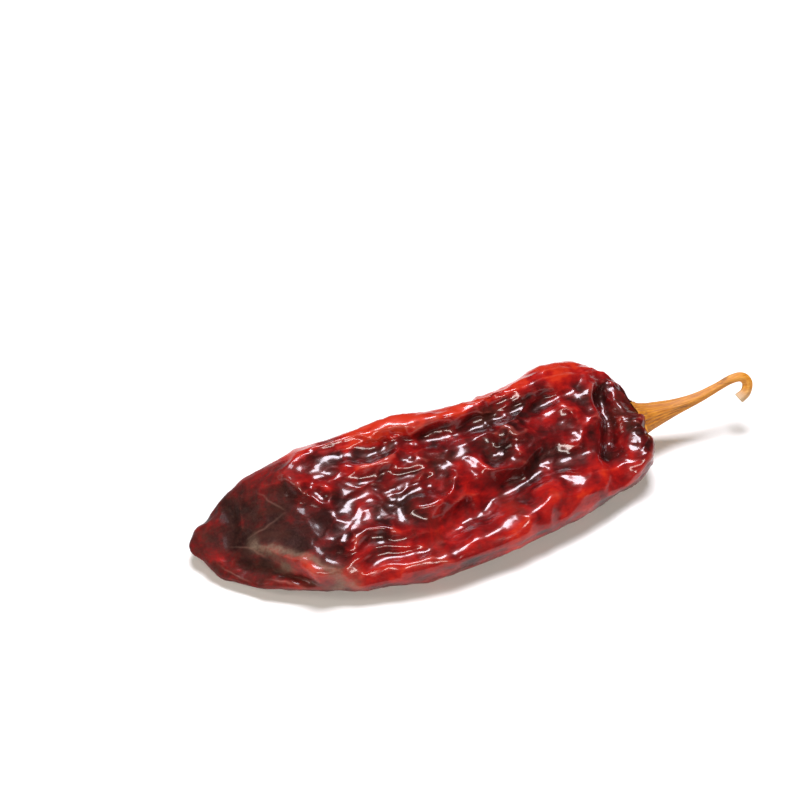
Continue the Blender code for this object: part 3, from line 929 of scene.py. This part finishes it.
def sun_dried_skin():
    """Sun-dried chilli skin: a thin waxy film, glossy and deep red, black-brown where it dried
    thickest, and dull and grainy towards the tip. Painted into its colour are a brighter orange-red
    glow where light would come through it, shade in its hollows and on its underside, and a pale
    taupe sheen on the ridge near the tip; its sharpest creases are rubbed pale, with a painted
    highlight along them."""
    material = bpy.data.materials.new("sun-dried chilli skin")
    material.use_nodes = True
    tree = material.node_tree
    shader = tree.nodes["Principled BSDF"]
    glow = add(tree, "Attribute", {}, attribute_name="glow").outputs["Fac"]
    dark = add(tree, "Attribute", {}, attribute_name="dark").outputs["Fac"]
    dull = add(tree, "Attribute", {}, attribute_name="dull").outputs["Fac"]
    crest = add(tree, "Attribute", {}, attribute_name="crest").outputs["Fac"]
    edge = add(tree, "Attribute", {}, attribute_name="edge").outputs["Fac"]
    flank = add(tree, "Attribute", {}, attribute_name="flank").outputs["Fac"]
    taupe = add(tree, "Attribute", {}, attribute_name="taupe").outputs["Fac"]
    hair = add(tree, "Attribute", {}, attribute_name="hair").outputs["Fac"]
    place = add(tree, "TexCoord", {}).outputs["Object"]
    drawn = add(tree, "Mapping", {"Vector": place, "Scale": (0.5, 1, 1)}).outputs["Vector"]

    # Mottling of 9 mm with finer blotches in it, and freckles of 1.1 mm.
    mottle = add(tree, "TexNoise", {"Vector": place, "Scale": per_metre(9), "Detail": 4,
                                    "Roughness": 0.56, "Distortion": 0.5}).outputs["Fac"]
    freckle = add(tree, "TexNoise", {"Vector": drawn, "Scale": per_metre(1.1), "Detail": 2,
                                     "Roughness": 0.6}).outputs["Fac"]
    tone = add(tree, "Math", {0: mottle, 1: 1.45, 2: -0.29}, operation="MULTIPLY_ADD").outputs[0]
    tone = add(tree, "Math", {0: freckle, 1: 0.35, 2: tone}, operation="MULTIPLY_ADD").outputs[0]
    # Painted light: the glow brightens the red where light would come through the thin skin.
    tone = add(tree, "Math", {0: glow, 1: 0.50, 2: tone}, operation="MULTIPLY_ADD").outputs[0]
    # Dark patches where the skin dried nearly black, and painted shade on the underside.
    tone = add(tree, "Math", {0: dark, 1: -0.46, 2: tone}, operation="MULTIPLY_ADD").outputs[0]
    # Painted shade: the hollows are darker and the crests redder, by the crest's height.
    tone = add(tree, "Math", {0: crest, 1: 0.44, 2: tone}, operation="MULTIPLY_ADD").outputs[0]
    tone = add(tree, "Math", {0: tone, 1: 0.34}, operation="SUBTRACT", use_clamp=True).outputs[0]
    red = add(tree, "ValToRGB", {"Fac": tone}, stops=(
        (0.0, "180605"), (0.2, "2e0908"), (0.42, "560a0b"), (0.64, "7e0d0d"), (0.82, "9c150f"),
        (1.0, "b22812"),
    )).outputs["Color"]

    # Brown patches of 13 mm where the skin browned as it dried.
    patch = add(tree, "TexNoise", {"Vector": place, "Scale": per_metre(13), "Detail": 6,
                                   "Roughness": 0.6, "Distortion": 0.8}).outputs["Fac"]
    patch = add(tree, "MapRange", {"Value": patch, "From Min": 0.50, "From Max": 0.66,
                                   "To Max": 0.55}).outputs[0]
    patch = add(tree, "Math", {0: glow, 1: -0.6, 2: patch}, operation="MULTIPLY_ADD",
                use_clamp=True).outputs[0]
    browned = add(tree, "Mix", {"Factor": patch, "A": red, "B": linear("3c1e16")}, data_type="RGBA")

    # The sharpest creases, rubbed pale and painted with a pale highlight along their crests.
    worn_and_highlit = add(tree, "Math", {0: edge, 1: 0.4}, operation="MULTIPLY").outputs[0]
    rubbed_and_highlit = add(tree, "Mix", {"Factor": worn_and_highlit, "A": browned.outputs["Result"], "B": linear("a4584a")},
                 data_type="RGBA")

    # The dull end's brown bloom, in grains of 0.8 mm.
    grain = add(tree, "TexNoise", {"Vector": place, "Scale": per_metre(0.8), "Detail": 3,
                                   "Roughness": 0.7}).outputs["Fac"]
    bloom = add(tree, "MapRange", {"Value": grain, "From Min": 0.42, "From Max": 0.68,
                                   "To Max": 0.38}).outputs[0]
    bloom = add(tree, "Math", {0: bloom, 1: dull}, operation="MULTIPLY").outputs[0]
    bloomed = add(tree, "Mix", {"Factor": bloom, "A": rubbed_and_highlit.outputs["Result"], "B": linear("3a251b")},
                  data_type="RGBA")
    # Painted sheen: a pale taupe reflection on the ridge near the tip, in grains.
    sheen_mask = add(tree, "Math", {0: grain, 1: taupe}, operation="MULTIPLY", use_clamp=True).outputs[0]
    sheened = add(tree, "Mix", {"Factor": sheen_mask, "A": bloomed.outputs["Result"], "B": linear("7d6855")},
                 data_type="RGBA")
    pale = add(tree, "Math", {0: hair, 1: 0.16}, operation="MULTIPLY").outputs[0]
    lined = add(tree, "Mix", {"Factor": pale, "A": sheened.outputs["Result"], "B": linear("a8806e")},
                data_type="RGBA")
    tree.links.new(lined.outputs["Result"], shader.inputs["Base Color"])

    gloss = add(tree, "TexNoise", {"Vector": drawn, "Scale": per_metre(4), "Detail": 4}).outputs["Fac"]
    gloss = add(tree, "MapRange", {"Value": gloss, "From Min": 0.3, "From Max": 0.7,
                                   "To Min": 0.26, "To Max": 0.44}).outputs[0]
    rough = add(tree, "Math", {0: dull, 1: 0.28, 2: gloss}, operation="MULTIPLY_ADD").outputs[0]
    tree.links.new(rough, shader.inputs["Roughness"])

    # The wax film is gone from the dull end, and rubbed thin on the flanks.
    wax = add(tree, "MapRange", {"Value": dull, "To Min": 0.62, "To Max": 0.02}).outputs[0]
    left = add(tree, "MapRange", {"Value": flank, "To Min": 1.0, "To Max": 0.25}).outputs[0]
    film = add(tree, "Math", {0: wax, 1: left}, operation="MULTIPLY").outputs[0]
    tree.links.new(film, shader.inputs["Coat Weight"])
    shader.inputs["Coat Roughness"].default_value = 0.14
    shader.inputs["IOR"].default_value = 1.45
    shader.inputs["Specular IOR Level"].default_value = 0.42
    shader.inputs["Specular Tint"].default_value = linear("d2968c")

    # Pores and hair-thin wrinkles, drawn out along the pod, coarse enough to show.
    wrinkle = add(tree, "TexNoise", {"Vector": drawn, "Scale": per_metre(1.8), "Detail": 6,
                                     "Roughness": 0.6, "Distortion": 0.6}).outputs["Fac"]
    depth = add(tree, "Math", {0: grain, 1: 0.35, 2: wrinkle}, operation="MULTIPLY_ADD").outputs[0]
    depth = add(tree, "Math", {0: grain, 1: dull, 2: depth}, operation="MULTIPLY_ADD").outputs[0]
    bump = add(tree, "Bump", {"Height": depth, "Strength": 0.45, "Distance": 0.25 * MM})
    tree.links.new(bump.outputs["Normal"], shader.inputs["Normal"])
    return material


def dried_stalk_wood():
    """Sun-dried green stalk: soft fibrous wood, ochre and half dull, with darker fibres, brown
    flecks and a pale, greyish end where it was cut."""
    material = bpy.data.materials.new("sun-dried stalk")
    material.use_nodes = True
    tree = material.node_tree
    shader = tree.nodes["Principled BSDF"]
    along = add(tree, "Attribute", {}, attribute_name="along").outputs["Fac"]
    furrow = add(tree, "Attribute", {}, attribute_name="furrow").outputs["Fac"]
    place = add(tree, "TexCoord", {}).outputs["Object"]
    drawn = add(tree, "Mapping", {"Vector": place, "Scale": (0.16, 1, 1)}).outputs["Vector"]
    fibre = add(tree, "TexNoise", {"Vector": drawn, "Scale": per_metre(0.7), "Detail": 4,
                                   "Roughness": 0.6}).outputs["Fac"]
    fleck = add(tree, "TexNoise", {"Vector": drawn, "Scale": per_metre(1.6), "Detail": 3,
                                   "Distortion": 0.8}).outputs["Fac"]
    tone = add(tree, "Math", {0: fibre, 1: 0.75, 2: 0.12}, operation="MULTIPLY_ADD").outputs[0]
    tone = add(tree, "Math", {0: furrow, 1: -0.22, 2: tone}, operation="MULTIPLY_ADD").outputs[0]
    tone = add(tree, "Math", {0: along, 1: 0.2, 2: tone}, operation="MULTIPLY_ADD").outputs[0]
    ochre = add(tree, "ValToRGB", {"Fac": tone}, stops=(
        (0.0, "5a300c"), (0.3, "a25e10"), (0.55, "c47e1c"), (0.8, "d8a046"), (1.0, "e6c894"),
    )).outputs["Color"]
    brown = add(tree, "MapRange", {"Value": fleck, "From Min": 0.60, "From Max": 0.74,
                                   "To Max": 0.7}).outputs[0]
    flecked = add(tree, "Mix", {"Factor": brown, "A": ochre, "B": linear("6a3d16")}, data_type="RGBA")
    grey = add(tree, "MapRange", {"Value": along, "From Min": 0.90, "To Max": 0.75}).outputs[0]
    ended = add(tree, "Mix", {"Factor": grey, "A": flecked.outputs["Result"], "B": linear("b9a88c")},
                data_type="RGBA")
    tree.links.new(ended.outputs["Result"], shader.inputs["Base Color"])
    rough = add(tree, "MapRange", {"Value": fibre, "To Min": 0.42, "To Max": 0.66}).outputs[0]
    tree.links.new(rough, shader.inputs["Roughness"])
    bump = add(tree, "Bump", {"Height": fibre, "Strength": 0.4, "Distance": 0.12 * MM})
    tree.links.new(bump.outputs["Normal"], shader.inputs["Normal"])
    return material


def make_pod():
    """The dried fruit: its crumpled skin, closed underneath, with the hairline wrinkles on it."""
    grid = dried_skin()
    normal = grid_normals(grid)
    hair = hairlines(plan_of(grid) + HAIR_JAG * wander(grid, HAIR_JAG_SIZE, 71)[..., :2])
    hair *= smooth(0, 0.4, normal[..., 2])
    grid = grid + normal * (HAIR_HEIGHT * hair)[..., None]
    pod = closed_mesh("dried_pod_skin", grid + np.array([PLACE_X, PLACE_Y, 0]))
    store(pod, finish_maps(grid, normal) | {"hair": hair})
    pod.data.materials.append(sun_dried_skin())
    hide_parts("pod")
    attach(pod, "root")


def stalk_frames(path):
    """For each step along the path: its point and two directions square to it."""
    ahead = np.gradient(path, axis=0)
    ahead /= np.linalg.norm(ahead, axis=1, keepdims=True)
    side = np.array([0.0, 1.0, 0.0])
    frames = []
    for point, direction in zip(path, ahead):
        side = side - direction * (side @ direction)
        side /= np.linalg.norm(side)
        frames.append((point, side, np.cross(direction, side)))
    return frames


def calyx_ring(share, lift, angles):
    """A ring of the calyx at a share of its radius, lifted off the pod's skin."""
    lobes = LOBE_REACH * (np.abs(np.cos(angles * CALYX_LOBES / 2)) - LOBE_MEAN)
    reach = np.maximum(share * CALYX_RADIUS * (1 + lobes * share), CALYX_INNERMOST)
    turn = (np.arctan2(np.sin(angles), np.cos(angles)) / TAU * len(SECTION)) % len(SECTION)
    points, normal = skin(reach, turn)
    return points + normal * lift


def stalk_path():
    """The stalk's path in even steps from the stem end: a point and a radius at each."""
    line = smooth_line(np.array(STALK_PATH) * MM)
    length = np.concatenate([[0], np.cumsum(np.linalg.norm(np.diff(line[:, :3], axis=0), axis=1))])
    wanted = np.linspace(0, length[-1], STALK_STEPS)
    return np.stack([np.interp(wanted, length, line[:, i]) for i in range(4)], axis=-1)


def ribbing(share, angles):
    """The ribs and fibres round the stalk at a share of its length, which turn as it grows: the
    radius as a share of the round stalk's, and how deep in a furrow each place is."""
    turned = angles + STALK_TURN * share
    ribs = RIB_DEPTH * np.cos(STALK_RIBS * turned)
    around = np.stack([np.cos(turned) * 2.2, np.sin(turned) * 2.2, 5 * share + 0 * turned], axis=-1)
    uneven = wander(around, 1.0, 61)[:, 0]
    fibres = FIBRE_DEPTH * np.cos(FIBRES * turned + 2.5 * uneven)
    return 1 + ribs + fibres + 0.04 * uneven, np.clip(0.5 - 2.6 * ribs - 9 * fibres, 0, 1)


def make_stalk():
    """The stalk as one closed skin: the calyx's underside and rim, the ribbed stalk along its
    path, and the cut end."""
    angles = np.linspace(0, TAU, STALK_SIDES, endpoint=False)
    rings = [calyx_ring(k / CALYX_STEPS, GAP, angles) for k in range(CALYX_STEPS)]
    for share, lift in CALYX_RIM:
        rings.append(calyx_ring(share, GAP + lift * CALYX_THICKNESS, angles))
    rim_rings = len(rings)
    path = stalk_path()
    across, up = spine(np.array(0.0))
    start = np.array([POD_LENGTH / 2 - SOCKET_DEPTH, across, up])
    furrows = [np.zeros(STALK_SIDES)] * rim_rings
    frames = stalk_frames(path[:, :3] + start)
    for step, ((point, side, rise), radius) in enumerate(zip(frames, path[:, 3])):
        ribbed, furrow = ribbing(step / (STALK_STEPS - 1), angles)
        outward_from = np.sin(angles)[:, None] * rise - np.cos(angles)[:, None] * side
        rings.append(point + outward_from * (radius * ribbed)[:, None])
        furrows.append(furrow)
    cut_ring = rings[-1]
    cut_middle = cut_ring.mean(axis=0)
    ahead = path[-1, :3] - path[-2, :3]
    ahead /= np.linalg.norm(ahead)
    for share, proud in CUT_END:
        rings.append(cut_middle + (cut_ring - cut_middle) * share + ahead * proud)
        furrows.append(np.full(STALK_SIDES, 0.5 if proud > 0 else 1.0))
    stalk = closed_mesh("woody_stalk", np.array(rings) + np.array([PLACE_X, PLACE_Y, 0]))
    steps = np.clip((np.arange(len(rings)) - rim_rings) / (STALK_STEPS - 1), 0, 1)
    along = np.repeat(steps[:, None], STALK_SIDES, axis=1)
    store(stalk, {"along": along, "furrow": np.array(furrows)})
    stalk.data.materials.append(dried_stalk_wood())
    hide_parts("stalk")
    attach(stalk, "root")


place_camera()
light_studio()
make_floor()
make_pod()
make_stalk()
